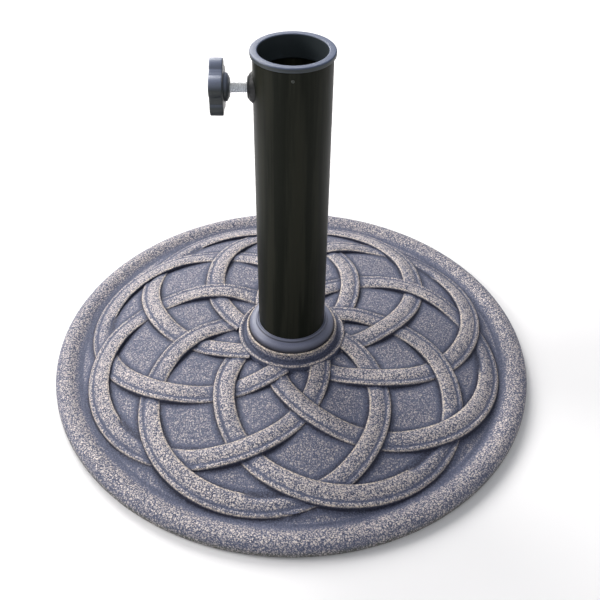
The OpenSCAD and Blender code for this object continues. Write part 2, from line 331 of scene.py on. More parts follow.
def sweep_ring(turn, steps=216):
    """One whole band, from hub to tip and back to the hub."""
    centre = Vector((ring_offset * math.cos(turn), ring_offset * math.sin(turn), 0))
    rings = []
    for t in np.linspace(-ring_end, ring_end, steps):
        angle = turn + math.radians(t)
        points = []
        for u in band_u:
            x = centre.x + (ring_r + u) * math.cos(angle)
            y = centre.y + (ring_r + u) * math.sin(angle)
            points.append((x, y, float(band_height(math.hypot(x, y), u, t))))
        first, last = points[0], points[-1]
        points.append((last[0], last[1], last[2] - 0.3))
        points.append((first[0], first[1], first[2] - 0.3))
        rings.append(points)
    return skin(rings)

turns = [math.radians(ring_turn + 360 * i / ring_n) for i in range(ring_n)]
bands = [build(f"band_{i}", [sweep_ring(turn)]) for i, turn in enumerate(turns)]
print(len(bands), "bands of", len(bands[0].data.vertices), "points")

# %% [markdown]
# The turned body carries the rim, the sunken field and the hub. A real sand casting has
# no sharp corners, so the outline is made of arcs. The underside is hollow: the iron is
# about seven millimetres thick, with a wall round the pocket for the fixing plate.

# %% Outline of the turned body
seat_z = 34
web_z = 24
foot_t = span("foot_pads")[1].z
rib_z = foot_t + 1
trim_r = span("trim_ring")[1].x
plate_r = span("clamp_plate")[1].x
pocket_r = plate_r + 0.5
cavity_r = base_r - 32
field_end = base_r - 23.5

field_in = 26.5
field_r = np.linspace(47.6, base_r - 28.5, 86)
outline = [(6.5, web_z), (6.5, seat_z), (trim_r + 0.2, seat_z), (trim_r + 0.25, 38.0)]
outline += arc(38.7, 38.4, 0.9, 160, -35, 8)
outline += [(39.2, 37.2), (39.35, 35.6), (39.7, 34.0), (40.3, 32.6)]
outline += arc(42.3, 32.9, 2.1, 205, 300, 6)
outline += arc(45.4, 30.4, 1.6, 125, 10, 7)
outline += [(47.05, 29.4), (47.1, 28.2), (47.25, 27.4)]
outline += [(r, float(dome(r)) - relief) for r in field_r]
rim_top_z = 12.4
rim_low_z = 8.15
rim_crown = 9.5
rim_edge_z = 5.9
rim_foot_in = 22.5
rim_side_in = 0.12
for inwards in np.linspace(field_in, rim_crown, 11):
    risen = float(smooth(-rim_foot_in, -rim_crown, -inwards))
    outline.append((base_r - inwards, rim_low_z + (rim_top_z - rim_low_z) * risen))
for a in np.linspace(80, 10, 8):
    across, up = math.cos(math.radians(a)), math.sin(math.radians(a))
    rim_point_r = base_r - rim_crown + (rim_crown - rim_side_in) * across
    outline.append((rim_point_r, rim_edge_z + (rim_top_z - rim_edge_z) * up))
outline += arc(base_r - 8, 4.5, 8, 10, -26, 6)
outline += [(base_r - 2.5, casting_z), (cavity_r + 1, casting_z), (cavity_r, casting_z + 1)]
outline += [(r, float(dome(r)) - relief - wall_t) for r in np.linspace(cavity_r, pocket_r + 9, 40)]
outline += [(pocket_r + 8, 18), (pocket_r + 7.5, rib_z), (pocket_r + 0.6, rib_z), (pocket_r, rib_z + 0.6)]
outline += [(pocket_r, web_z)]
casting = build("base_casting_iron", [spin(outline, steps=288)])
print("turned body:", len(outline), "outline points")

# %% [markdown]
# Ribs and foot bosses stiffen the hollow underside. Cast walls taper so that the pattern
# draws out of the sand, so each rib is thinner at its lower edge and each boss is a cone.

# %% Ribs, bosses and screw holes
rib_n = 6
foot_r = 165

def rib(turn):
    """One tapered rib from the hub's wall to the rim."""
    rings = []
    for r in np.linspace(pocket_r + 2, cavity_r + 4, 24):
        top = float(dome(r)) - relief - 3
        low = min(rib_z, top - 2)
        section = [(-2.8, low), (-2.3, low - 0.4), (2.3, low - 0.4), (2.8, low), (4.2, top), (-4.2, top)]
        rings.append([
            (r * math.cos(turn) - w * math.sin(turn), r * math.sin(turn) + w * math.cos(turn), z)
            for w, z in section
        ])
    return skin(rings)

def moved(part, x, y):
    """The same (verts, faces), shifted sideways."""
    verts, faces = part
    return [(vx + x, vy + y, vz) for vx, vy, vz in verts], faces

feet = [math.radians(360 * (i + 0.5) / rib_n) for i in range(rib_n)]
foot_spots = [(foot_r * math.cos(a), foot_r * math.sin(a)) for a in feet]
boss = [(0, foot_t), (13.0, foot_t), (13.5, foot_t + 0.5), (14.6, 12), (0, 12)]
hole = [(0, 2), (2.5, 2), (2.5, 11.6), (0, 12.2)]
extras = [build(f"rib_{i}", [rib(a)]) for i, a in enumerate(feet)]
extras += [build(f"boss_{i}", [moved(spin(boss, 48), x, y)]) for i, (x, y) in enumerate(foot_spots)]
holes = [build(f"hole_{i}", [moved(spin(hole, 24), x, y)]) for i, (x, y) in enumerate(foot_spots)]
combine(casting, bands + extras)
combine(casting, holes, how="DIFFERENCE")
print("the casting has", len(casting.data.polygons), "faces")

# %% [markdown]
# The casting is painted blue-grey all over, and a pale gilt is then rubbed over it with a
# dry cloth. It catches on whatever stands proud and misses what is sheltered. So each point
# gets three numbers: how much gilt it takes, how worn it is, and how far it turns darker
# olive low on the rim's outer side. The gilt number also carries painted shade: it drops
# below zero at the foot of the band walls, on the walls, under the bands that cross above
# and beside the hub's beads, and the material darkens those places.

# %% Gilt with painted shade, wear and the low rim's olive for each point of the casting
def ring_place(x, y, turn):
    """Offset across a ring's band, and the angle along it, for points seen from above."""
    dx = x - ring_offset * math.cos(turn)
    dy = y - ring_offset * math.sin(turn)
    t = np.degrees(np.arctan2(dy, dx)) - math.degrees(turn)
    return np.hypot(dx, dy) - ring_r, (t + 180) % 360 - 180

points = np.empty(len(casting.data.vertices) * 3, np.float32)
casting.data.vertices.foreach_get("co", points)
x, y, z = points.reshape(-1, 3).T / MM
r = np.hypot(x, y)
places = [ring_place(x, y, turn) for turn in turns]
on_band = np.zeros(len(x), bool)
rub = np.zeros(len(x))
catch_and_wall_shade = np.ones(len(x))
best = np.full(len(x), 0.3)
for u, t in places:
    top = band_height(r, np.clip(u, -9.6, 9.6), t)
    gap = np.where((np.abs(u) < 9.65) & (np.abs(t) < ring_end + 0.1), np.abs(z - top), 9.0)
    closer = gap < best
    best = np.where(closer, gap, best)
    rub = np.where(closer, np.interp(u, band_u, band_rub), rub)
    catch_and_wall_shade = np.where(closer, np.interp(u, band_u, band_catch_and_wall_shade), catch_and_wall_shade)
    on_band |= closer

# Shelter is how far each point lies from the wall of a band that rises above it. It sets where the gilt is
# rubbed, and also where shade is painted beside those walls.
shelter = np.ones(len(x))
for u, t in places:
    lip = dome(r) + wave(t) - 0.8
    reach = np.where(on_band, 5.0, 6.5)
    inside = (np.abs(t) < ring_end + 3) & (lip > z + 0.7)
    away = smooth(0.0, 1.0, (np.abs(u) - half_band + 0.4) / reach)
    shelter = np.where(inside, np.minimum(shelter, away), shelter)

high = np.clip((z - (dome(r) - 2.6)) / 3.2, 0, 1)
# Painted shade: next to the walls the field's number drops below zero, which darkens the foot of each wall.
field_gilt_and_shade = -0.25 + 0.7 * shelter
# Painted shade: on a band the number drops below zero under a band that crosses above it, and on the steep
# walls.
band_gilt_and_shade = (-0.1 + (0.62 + 0.3 * high) * shelter) * np.where(catch_and_wall_shade > 0, catch_and_wall_shade, 1) + np.minimum(catch_and_wall_shade, 0)
gilt_and_shade = np.where(on_band, band_gilt_and_shade, field_gilt_and_shade)
groove = smooth(186.5, 195, r)
rim_gilt = 0.08 + 0.6 * groove
rim_gilt = np.where(r > 206, 0.5, rim_gilt)
gilt_and_shade = np.where((r > field_end - 1) & ~on_band, rim_gilt, gilt_and_shade)
# Painted shadow: the number drops below zero just outside the bright bead and at the hub's outer drop.
hub_rings = [37.0, 38.2, 39.4, 40.2, 43.4, 44.6, 46.2, 47.3]
hub_gilt_and_shade = np.interp(r, hub_rings, [0.3, 1.0, 0.9, -0.1, 0.0, 0.6, 0.8, -0.1])
gilt_and_shade = np.where((r < 47.35) & (z > 27.3), hub_gilt_and_shade, gilt_and_shade)
wear = np.where(on_band, rub * (0.25 + 0.75 * shelter), 0)
wear = np.where((r < 39.9) & (z > 37.4), 1.0, wear)
wear = np.where((np.abs(r - 46.3) < 0.6) & (z > 30.5), 0.4, wear)
# Darker olive towards the foot of the rim's outer side.
low_rim_olive = smooth(205, 209, r) * smooth(9.5, 4, z)
under = z < dome(r) - relief - 2.5
under = under & (r < base_r - 12)
gilt_and_shade = np.where(under, 0.0, gilt_and_shade)
wear = np.where(under, 0.0, wear)
for label, values in (("gilt_and_shade", gilt_and_shade), ("wear", wear), ("low_rim_olive", low_rim_olive)):
    layer = casting.data.attributes.new(label, "FLOAT", "POINT")
    layer.data.foreach_set("value", values.astype(np.float32))
print("points on the bands:", int(on_band.sum()), "of", len(x))

# %% [markdown]
# ## Surfaces
# Every material is built from nodes. Effects that several materials share are node groups
# with named inputs, so that each of them can be tuned in one place.

# %% Helpers for node trees
def paint(red, green, blue):
    """A colour as painters see it, 0 to 255, turned into the light values that nodes use."""
    def linear(value):
        value /= 255
        return value / 12.92 if value <= 0.04045 else ((value + 0.055) / 1.055) ** 2.4
    return (linear(red), linear(green), linear(blue), 1.0)

def put(tree, kind, sockets, **settings):
    """Adds a node, with its settings, and feeds each socket with a value or another node."""
    made = tree.nodes.new("ShaderNode" + kind)
    for key, value in settings.items():
        setattr(made, key, value)
    for key, value in sockets.items():
        if isinstance(value, bpy.types.NodeSocket):
            tree.links.new(value, made.inputs[key])
        else:
            made.inputs[key].default_value = value
    return made

def blend_colours(tree, factor, first, second, how="MIX"):
    """Mixes two colours and gives the result's socket."""
    made = put(tree, "Mix", {0: factor, 6: first, 7: second}, data_type="RGBA", blend_type=how)
    return made.outputs[2]

def maths(tree, how, first, second=0.5):
    """One sum on values, giving its socket."""
    return put(tree, "Math", {0: first, 1: second}, operation=how, use_clamp=False).outputs[0]

def remap(tree, value, low, high, to_low=0.0, to_high=1.0):
    """Moves a value from one range to another, held at the ends."""
    sockets = {"Value": value, "From Min": low, "From Max": high, "To Min": to_low, "To Max": to_high}
    return put(tree, "MapRange", sockets, interpolation_type="SMOOTHSTEP").outputs[0]

def new_group(name, takes, gives):
    """An empty shader group with its inputs and outputs."""
    tree = bpy.data.node_groups.new(name, "ShaderNodeTree")
    for label, kind, value in takes:
        socket = tree.interface.new_socket(label, in_out="INPUT", socket_type="NodeSocket" + kind)
        socket.default_value = value
    for label, kind in gives:
        tree.interface.new_socket(label, in_out="OUTPUT", socket_type="NodeSocket" + kind)
    ends = tree.nodes.new("NodeGroupInput"), tree.nodes.new("NodeGroupOutput")
    return tree, ends[0].outputs, ends[1].inputs

def noise(tree, vector, scale, detail=2.0, rough=0.5, distortion=0.0):
    """Soft cloudy noise, giving its value socket."""
    sockets = {"Vector": vector, "Scale": scale, "Detail": detail}
    sockets.update({"Roughness": rough, "Distortion": distortion})
    return put(tree, "TexNoise", sockets).outputs["Fac"]

# %% [markdown]
# Hammered paint: the finish beads up into a fine worm-like grain, and the gilt sits on top
# of the grain. Small cells with bent edges, mixed with a fine dust, give that grain. Low
# gilt numbers mix towards the darkest colour, which is both the grain's pits and painted
# shade where the casting's numbers drop below zero.

# %% Group: hammered and gilded paint, with painted shade
hammered, take, give = new_group(
    "hammered_gilt",
    [("Gilt_and_shade", "Float", 0.5), ("Wear", "Float", 0.0), ("Low_rim_olive", "Float", 0.0),
     ("Grain per metre", "Float", 430.0), ("Contrast", "Float", 1.85),
     ("Pit and painted shade colour", "Color", (0, 0, 0, 1)), ("Deep colour", "Color", (0, 0, 0, 1)),
     ("Pale gilt colour", "Color", (1, 1, 1, 1)), ("Bare colour", "Color", (1, 1, 1, 1)),
     ("Low rim olive colour", "Color", (0, 0, 0, 1))],
    [("Color", "Color"), ("Height", "Float"), ("Roughness", "Float"), ("Metallic", "Float")],
)
where = put(hammered, "TexCoord", {}).outputs["Object"]
swirl = put(hammered, "TexNoise", {"Vector": where, "Scale": 420.0, "Detail": 1.0}).outputs["Color"]
swirl = put(hammered, "VectorMath", {0: swirl, 1: (0.5, 0.5, 0.5)}, operation="SUBTRACT").outputs[0]
swirl = put(hammered, "VectorMath", {0: swirl, "Scale": 0.0042}, operation="SCALE").outputs[0]
bent = put(hammered, "VectorMath", {0: where, 1: swirl}, operation="ADD").outputs[0]
cells = put(hammered, "TexVoronoi", {"Vector": bent, "Scale": take["Grain per metre"]},
            feature="DISTANCE_TO_EDGE")
cell = remap(hammered, cells.outputs["Distance"], 0.0, 0.26)
dust = remap(hammered, noise(hammered, where, 1000.0, 1.0), 0.3, 0.7)
fine = put(hammered, "Mix", {0: 0.45, 2: cell, 3: dust}, data_type="FLOAT").outputs[0]
broad = noise(hammered, where, 30.0, 3.0)
patchy = maths(hammered, "MULTIPLY", maths(hammered, "SUBTRACT", broad, 0.5), 0.3)
amount = maths(hammered, "ADD", take["Gilt_and_shade"], patchy)
contrast = maths(hammered, "MULTIPLY", remap(hammered, amount, 0.25, 0.9, 0.26, 1.0), take["Contrast"])
spread = maths(hammered, "MULTIPLY", maths(hammered, "SUBTRACT", fine, 0.52), contrast)
level = maths(hammered, "ADD", maths(hammered, "MULTIPLY", amount, 0.72), spread)
# Low levels mix towards the darkest colour: the grain's pits, and painted shade where the casting's gilt
# number drops below zero.
depth = remap(hammered, level, -0.45, 0.3)
colour = blend_colours(hammered, depth, take["Pit and painted shade colour"], take["Deep colour"])
speckle = remap(hammered, level, 0.15, 0.95)
colour = blend_colours(hammered, speckle, colour, take["Pale gilt colour"])
worn = maths(hammered, "MULTIPLY", take["Wear"], remap(hammered, fine, 0.3, 0.62, 0.25, 1.0))
colour = blend_colours(hammered, worn, colour, take["Bare colour"])
# Mixes towards the darker olive where the casting's number asks for it, low on the rim's outer side.
olive_mix = maths(hammered, "MULTIPLY", take["Low_rim_olive"], remap(hammered, fine, 0.35, 0.6, 0.9, 0.25))
colour = blend_colours(hammered, olive_mix, colour, take["Low rim olive colour"])
hammered.links.new(colour, give["Color"])
hammered.links.new(fine, give["Height"])
hammered.links.new(remap(hammered, speckle, 0, 1, 0.6, 0.46), give["Roughness"])
hammered.links.new(maths(hammered, "MULTIPLY", speckle, 0.15), give["Metallic"])
print("group", hammered.name, "has", len(hammered.nodes), "nodes")

# %% [markdown]
# Moulded plastic, powder coat, plated steel and rubber all share one general surface: two
# sizes of noise vary the colour and the roughness, and worn corners turn lighter. Points
# that face up can also be mixed towards a lighter colour, which is a painted sky reflection.

# %% Group: general surface with grain, patches, worn corners and a painted sky reflection
surface, take, give = new_group(
    "worked_surface",
    [("Colour", "Color", (0.5, 0.5, 0.5, 1)), ("Patch colour", "Color", (0.5, 0.5, 0.5, 1)),
     ("Corner colour", "Color", (0.8, 0.8, 0.8, 1)), ("Patch amount", "Float", 0.3),
     ("Corner amount", "Float", 0.3), ("Grain per metre", "Float", 1500.0),
     ("Patch per metre", "Float", 60.0), ("Stretch", "Vector", (1, 1, 1)), ("Roughness", "Float", 0.5),
     ("Roughness change", "Float", 0.1), ("Painted sky reflection colour", "Color", (1, 1, 1, 1)),
     ("Painted sky reflection amount", "Float", 0.0)],
    [("Color", "Color"), ("Height", "Float"), ("Roughness", "Float"), ("Corner", "Float")],
)
where = put(surface, "TexCoord", {}).outputs["Object"]
stretched = put(surface, "VectorMath", {0: where, 1: take["Stretch"]}, operation="MULTIPLY").outputs[0]
grain = noise(surface, stretched, take["Grain per metre"], 3.0, 0.6)
patches = noise(surface, stretched, take["Patch per metre"], 4.0, 0.6)
corner = put(surface, "Attribute", {}, attribute_name="corner").outputs["Fac"]
uneven = remap(surface, patches, 0.4, 0.6, 0.25, 1.0)
rubbed = maths(surface, "MULTIPLY", remap(surface, corner, 0.35, 1.0), uneven)
rubbed = maths(surface, "MULTIPLY", rubbed, take["Corner amount"])
patch = maths(surface, "MULTIPLY", remap(surface, patches, 0.4, 0.68), take["Patch amount"])
colour = blend_colours(surface, patch, take["Colour"], take["Patch colour"])
# Painted sky reflection: up-facing points are mixed towards a lighter colour.
painted_sky_reflection = put(surface, "Attribute", {}, attribute_name="painted_sky_reflection").outputs["Fac"]
painted_sky_reflection = maths(surface, "MULTIPLY", painted_sky_reflection, take["Painted sky reflection amount"])
colour = blend_colours(surface, painted_sky_reflection, colour, take["Painted sky reflection colour"])
mottle = remap(surface, grain, 0.3, 0.7, 0.86, 1.1)
shade = put(surface, "CombineXYZ", {0: mottle, 1: mottle, 2: mottle}).outputs[0]
colour = blend_colours(surface, 1.0, colour, shade, "MULTIPLY")
colour = blend_colours(surface, rubbed, colour, take["Corner colour"])
change = maths(surface, "MULTIPLY", maths(surface, "SUBTRACT", grain, 0.5), take["Roughness change"])
change = maths(surface, "ADD", change, maths(surface, "MULTIPLY", patch, take["Roughness change"]))
surface.links.new(colour, give["Color"])
surface.links.new(grain, give["Height"])
surface.links.new(maths(surface, "ADD", take["Roughness"], change), give["Roughness"])
surface.links.new(rubbed, give["Corner"])
print("group", surface.name, "has", len(surface.nodes), "nodes")

# %% Materials made from the groups
def new_material(name, group, sockets, bump, bump_depth):
    """A material whose look comes from one group. Gives the tree, the group and the shader."""
    made = bpy.data.materials.new(name)
    made.use_nodes = True
    tree = made.node_tree
    tree.nodes.clear()
    effect = tree.nodes.new("ShaderNodeGroup")
    effect.node_tree = group
    for key, value in sockets.items():
        if isinstance(value, bpy.types.NodeSocket):
            tree.links.new(value, effect.inputs[key])
        else:
            effect.inputs[key].default_value = value
    relief_node = put(tree, "Bump", {
        "Strength": bump, "Distance": bump_depth * MM, "Height": effect.outputs["Height"],
    })
    shader = put(tree, "BsdfPrincipled", {
        "Base Color": effect.outputs["Color"], "Roughness": effect.outputs["Roughness"],
        "Normal": relief_node.outputs["Normal"],
    })
    put(tree, "OutputMaterial", {"Surface": shader.outputs[0]})
    return made, tree, effect, shader

def surface_material(name, colour, patch, corner, metallic=0.0, grain=1500.0, stretch=(1, 1, 1),
                     rough=0.5, change=0.15, patch_amount=0.3, corner_amount=0.4, bump=0.4, depth=0.1,
                     coat=0.0, patch_size=60.0, shine=0.5, painted_sky_reflection=(255, 255, 255), painted_sky_reflection_amount=0.0):
    """One material on the general surface."""
    sockets = {
        "Colour": paint(*colour), "Patch colour": paint(*patch), "Corner colour": paint(*corner),
        "Patch amount": patch_amount, "Corner amount": corner_amount, "Grain per metre": grain,
        "Patch per metre": patch_size, "Stretch": stretch, "Roughness": rough, "Roughness change": change,
        "Painted sky reflection colour": paint(*painted_sky_reflection), "Painted sky reflection amount": painted_sky_reflection_amount,
    }
    made, tree, effect, shader = new_material(name, surface, sockets, bump, depth)
    shader.inputs["Metallic"].default_value = metallic
    shader.inputs["Coat Weight"].default_value = coat
    shader.inputs["Coat Roughness"].default_value = 0.3
    shader.inputs["Specular IOR Level"].default_value = shine
    return made

# The darkest colour is both the grain's pits and the painted shade at wall feet, on band walls and under
# crossings.
iron, tree, effect, shader = new_material("hammered_iron", hammered, {
    "Pit and painted shade colour": paint(40, 43, 64), "Deep colour": paint(90, 96, 121),
    "Pale gilt colour": paint(212, 201, 197), "Bare colour": paint(232, 216, 198),
    "Low rim olive colour": paint(70, 72, 52),
}, 1.0, 0.45)
for label in ("Gilt_and_shade", "Wear", "Low_rim_olive"):
    layer = put(tree, "Attribute", {}, attribute_name=label.lower())
    tree.links.new(layer.outputs["Fac"], effect.inputs[label])
tree.links.new(effect.outputs["Metallic"], shader.inputs["Metallic"])

tube_paint = surface_material("tube_paint", (17, 20, 13), (32, 29, 18), (64, 66, 58), grain=1400.0,
                              stretch=(1, 1, 0.04), rough=0.42, change=0.2, patch_amount=0.55,
                              patch_size=130.0, bump=0.1, shine=0.09)
weld_paint = surface_material("weld_paint", (30, 31, 32), (44, 44, 46), (96, 96, 98), grain=900.0, rough=0.5,
                              bump=0.6, depth=0.25, patch_amount=0.5)
nut_paint = surface_material("nut_paint", (38, 39, 42), (52, 52, 56), (150, 150, 152), rough=0.42, bump=0.3)
# The trim, collar and knob are painted lighter where they face up: a painted sky reflection over their own
# dark plastic colours.
trim_plastic = surface_material("trim_plastic", (54, 56, 69), (48, 50, 63), (126, 130, 148), rough=0.5,
                                grain=2200.0, bump=0.15, patch_amount=0.35, coat=0.3,
                                painted_sky_reflection=(116, 120, 142), painted_sky_reflection_amount=0.9)
collar_plastic = surface_material("collar_plastic", (42, 50, 54), (37, 45, 50), (120, 130, 148), rough=0.52,
                                  grain=2200.0, bump=0.15, patch_amount=0.35, coat=0.25, corner_amount=0.2,
                                  painted_sky_reflection=(77, 89, 118), painted_sky_reflection_amount=1.0)
bush_plastic = surface_material("bush_plastic", (34, 34, 36), (42, 42, 44), (70, 70, 72), rough=0.55,
                                grain=2000.0)
knob_plastic = surface_material("knob_plastic", (31, 39, 42), (26, 33, 35), (84, 94, 104), rough=0.5,
                                grain=2600.0, bump=0.5, depth=0.12, patch_amount=0.4, coat=0.3,
                                painted_sky_reflection=(126, 135, 160), painted_sky_reflection_amount=0.8)
cap_plastic = surface_material("cap_plastic", (46, 51, 60), (40, 45, 53), (96, 100, 110), rough=0.42,
                               grain=2600.0, bump=0.4)
pad_nylon = surface_material("pad_nylon", (226, 224, 214), (212, 208, 192), (240, 240, 236), rough=0.35,
                             grain=900.0, bump=0.15)
# The screw is painted near white where it faces up: a painted highlight.
zinc_screw = surface_material("zinc_screw", (228, 233, 239), (204, 213, 224), (250, 251, 252), metallic=0.3,
                              grain=1800.0, rough=0.28, change=0.2, bump=0.15, depth=0.05,
                              painted_sky_reflection=(252, 252, 252), painted_sky_reflection_amount=1.0)
zinc_bolt = surface_material("zinc_bolt", (196, 198, 196), (182, 186, 170), (232, 232, 228), metallic=1.0,
                             grain=1200.0, rough=0.34, change=0.3, bump=0.2, depth=0.06)
spring_steel = surface_material("spring_steel", (58, 57, 56), (74, 64, 54), (150, 148, 144), metallic=0.9,
                                grain=1500.0, rough=0.4, change=0.25, bump=0.3)
plain_steel = surface_material("plain_steel", (146, 146, 146), (122, 104, 88), (196, 196, 194), metallic=0.95,
                               grain=700.0, stretch=(1, 6, 1), rough=0.4, change=0.3,
                               patch_amount=0.45, bump=0.25)
foot_rubber = surface_material("foot_rubber", (34, 34, 35), (50, 49, 47), (64, 63, 62), rough=0.78,
                               grain=1600.0, bump=0.6, depth=0.15)
gasket_rubber = surface_material("gasket_rubber", (30, 30, 31), (42, 41, 40), (56, 56, 56), rough=0.82,
                                 grain=1800.0, bump=0.5, depth=0.12)
rivet_steel = surface_material("rivet_steel", (70, 74, 70), (50, 50, 48), (150, 150, 144), metallic=0.7,
                               rough=0.45)
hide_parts("base_casting")
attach(casting, "stand")
casting.data.materials.clear()
casting.data.materials.append(iron)
casting.data.shade_smooth()
casting.data.set_sharp_from_angle(angle=math.radians(50))
print(len(bpy.data.materials), "materials")

# %% [markdown]
# ## The tube and its plastic parts
# The tube is cut from welded steel tube, so a low seam runs down its inside. Its ends are
# deburred. The hole for the clamp nut is cut square to the wall.

# %% Steel tube
tube_in = tube_r - 1.5
seam_w = 1.3
tube_outline = [
    (tube_in + 0.3, tube_low.z), (tube_r - 0.5, tube_low.z), (tube_r, tube_low.z + 0.5),
    (tube_r, tube_high.z - 0.4), (tube_r - 0.4, tube_high.z), (tube_in + 0.3, tube_high.z),
    (tube_in, tube_high.z - 0.3), (tube_in, tube_low.z + 0.3),
]
tube = build("stand_tube_steel", [spin(tube_outline, 160)])
bush_low, bush_high = span("lower_bush")
seam_ring = [(-seam_w, tube_in + 0.4), (-seam_w * 0.6, tube_in - 0.25), (0, tube_in - 0.4),
             (seam_w * 0.6, tube_in - 0.25), (seam_w, tube_in + 0.4)]
seam_ends = bush_high.z + 1, collar_low.z - 1
seam = build("seam", [skin([[(sx, sy, sz) for sx, sy in seam_ring] for sz in seam_ends])])
nut_low, nut_high = span("clamp_nut")
nut_body_r = 7.0
hole = [(0, tube_in - 6), (nut_body_r, tube_in - 6), (nut_body_r, tube_r + 6), (0, tube_r + 6)]
nut_hole = clamp_part("nut_hole", spin(hole, 48))
combine(tube, [seam])
combine(tube, [nut_hole], how="DIFFERENCE")
finish_piece(tube, ["stand_tube"], "stand", tube_paint)

# %% [markdown]
# The collar is a moulded bush with a rounded flange. It guides the pole and covers the cut
# edge of the tube. Its skirt has a lead-in at the bottom, so that it presses in easily.

# %% Collar
flange_z = tube_high.z
skirt_r = tube_in - 0.08
round_out = 1.1
round_in = 0.9
collar_outline = [(pole_r, collar_low.z + 0.8), (pole_r + 0.7, collar_low.z), (skirt_r - 0.9, collar_low.z)]
collar_outline += [(skirt_r, collar_low.z + 1.6), (skirt_r, flange_z), (flange_r - 0.4, flange_z)]
collar_outline += [(flange_r, flange_z + 0.4)]
collar_outline += arc(flange_r - round_out, collar_high.z - round_out, round_out, 0, 90, 8)
collar_outline += arc(pole_r + round_in, collar_high.z - round_in, round_in, 90, 180, 8)
collar = build("collar_bush", [spin(collar_outline, 128)])
finish_piece(collar, ["collar"], "stand", collar_plastic)

# %% [markdown]
# Three small pins hold the collar. Their heads are peened over into low domes.

# %% Collar pins
rivet_low, rivet_high = span("collar_rivets")
pin_r = 1.2
pin_z = (rivet_low.z + rivet_high.z) / 2
pin_out = -rivet_low.y
pin_in = pole_r + 0.4
pin = [(0, pin_in), (pin_r - 0.2, pin_in), (pin_r - 0.05, pin_in + 0.2), (pin_r - 0.05, tube_r - 0.1)]
pin += [(pin_r, tube_r), (pin_r * 0.85, pin_out - 0.13), (pin_r * 0.5, pin_out - 0.03), (0, pin_out)]
pin_parts = []
for i in range(3):
    turn = math.radians(-90 + 120 * i)
    verts, faces = spin(pin, 20)
    c, s = math.cos(turn), math.sin(turn)
    placed = [(vz * c - vy * s, vz * s + vy * c, pin_z + vx) for vx, vy, vz in verts]
    pin_parts.append((placed, faces))
pins = build("collar_pins", pin_parts)
finish_piece(pins, ["collar_rivets"], "stand", rivet_steel)

# %% [markdown]
# The trim ring is a hollow moulded cover over the joint between the tube and the casting.
# Its crown hugs the tube, and a rounded shoulder steps down to the bright bead.

# %% Trim ring
trim_low, trim_high = span("trim_ring")
trim_in = tube_r + 0.1
shoulder_z = 40.2
trim_outline = [(trim_r - 1.4, trim_low.z), (trim_r - 0.3, trim_low.z), (trim_r, trim_low.z + 0.3)]
trim_outline += arc(trim_r - 5, shoulder_z, 5, 0, 84, 12)
trim_outline += [(32.1, 45.25), (31.65, 45.45), (31.3, 45.8)]
trim_outline += arc(29.9, 46.2, 1.6, 10, 80, 6)
trim_outline += [(29.3, trim_high.z - 0.25), (28.95, trim_high.z - 0.3), (trim_in, 47.4), (trim_in, 42.6)]
trim_outline += [(trim_in + 0.4, 42.1), (tube_r + 4.2, 42.0), (tube_r + 5, 41.3), (tube_r + 5, 35.0)]
trim_outline += [(trim_r - 2, trim_low.z + 0.6)]
trim = build("trim_cover", [spin(trim_outline, 144)])
finish_piece(trim, ["trim_ring"], "stand", trim_plastic, crease=50)

# %% [markdown]
# ## The clamp
# A round nut is let into the tube and welded. The weld was laid by hand, so its bead is
# rippled and uneven. The ripples come from sums of waves round the bead, which repeat
# every time the script runs.

# %% Clamp nut
nut_in = -nut_high.x
nut_out = -nut_low.x
bore_r = 4.05
nut_r = 8.0
nut_outline = [
    (bore_r + 0.5, nut_in), (nut_body_r - 0.5, nut_in), (nut_body_r, nut_in + 0.5),
    (nut_body_r, nut_out - 1.6), (nut_r - 0.2, nut_out - 1.6), (nut_r, nut_out - 1.3),
    (nut_r, nut_out - 0.4), (nut_r - 0.5, nut_out), (bore_r + 0.7, nut_out),
    (bore_r, nut_out - 0.7), (bore_r, nut_in + 0.5),
]
nut = clamp_part("clamp_nut_round", spin(nut_outline, 72))
finish_piece(nut, ["clamp_nut"], "stand", nut_paint)

# %% Weld bead
weld_low, weld_high = span("nut_weld")
weld_r = (weld_high.z - weld_low.z) / 2
weld_tip = -weld_low.x
steps_round = 144
steps_across = 9

def wall_x(side):
    """How far out the tube's wall is, at a distance to the side of the clamp's axis."""
    return math.sqrt(max(tube_r**2 - side**2, 0))

weld_rings = []
for k in range(steps_round):
    a = 2 * math.pi * k / steps_round
    ripple = 0.09 * math.sin(19 * a + 1.3 * math.sin(2 * a)) + 0.3 * math.sin(4 * a + 0.8 + math.sin(a))
    toe = weld_r - 0.4 + ripple
    points = []
    for i in range(steps_across + 1):
        s = i / steps_across
        radius = toe + (nut_r + 0.05 - toe) * s
        side = radius * math.sin(a)
        rise = 1 - (1 - s) ** 1.6
        out = wall_x(side) + (weld_tip + 0.7 + 0.3 * ripple - wall_x(side)) * rise
        points.append((radius * math.cos(a), side, out))
    for radius, out in ((nut_r + 0.05, weld_tip - 0.05), (nut_body_r + 0.05, weld_tip - 0.05)):
        points.append((radius * math.cos(a), radius * math.sin(a), out))
    for radius in (nut_body_r + 0.05, toe):
        side = radius * math.sin(a)
        points.append((radius * math.cos(a), side, wall_x(side) - 0.02))
    weld_rings.append(points)
count = len(weld_rings[0])
verts = [point for ring in weld_rings for point in ring]
faces = []
for k in range(steps_round):
    following = (k + 1) % steps_round
    for i in range(count):
        j = (i + 1) % count
        faces.append((k * count + i, following * count + i, following * count + j, k * count + j))
weld = build("nut_weld_bead", [(onto_clamp_axis(verts), faces)])
finish_piece(weld, ["nut_weld"], "stand", weld_paint, crease=60)

# %% [markdown]
# Threads are real helices: the radius of each point depends on how far it lies along the
# pitch. A rod made this way is closed and can be turned or cut like any other solid.

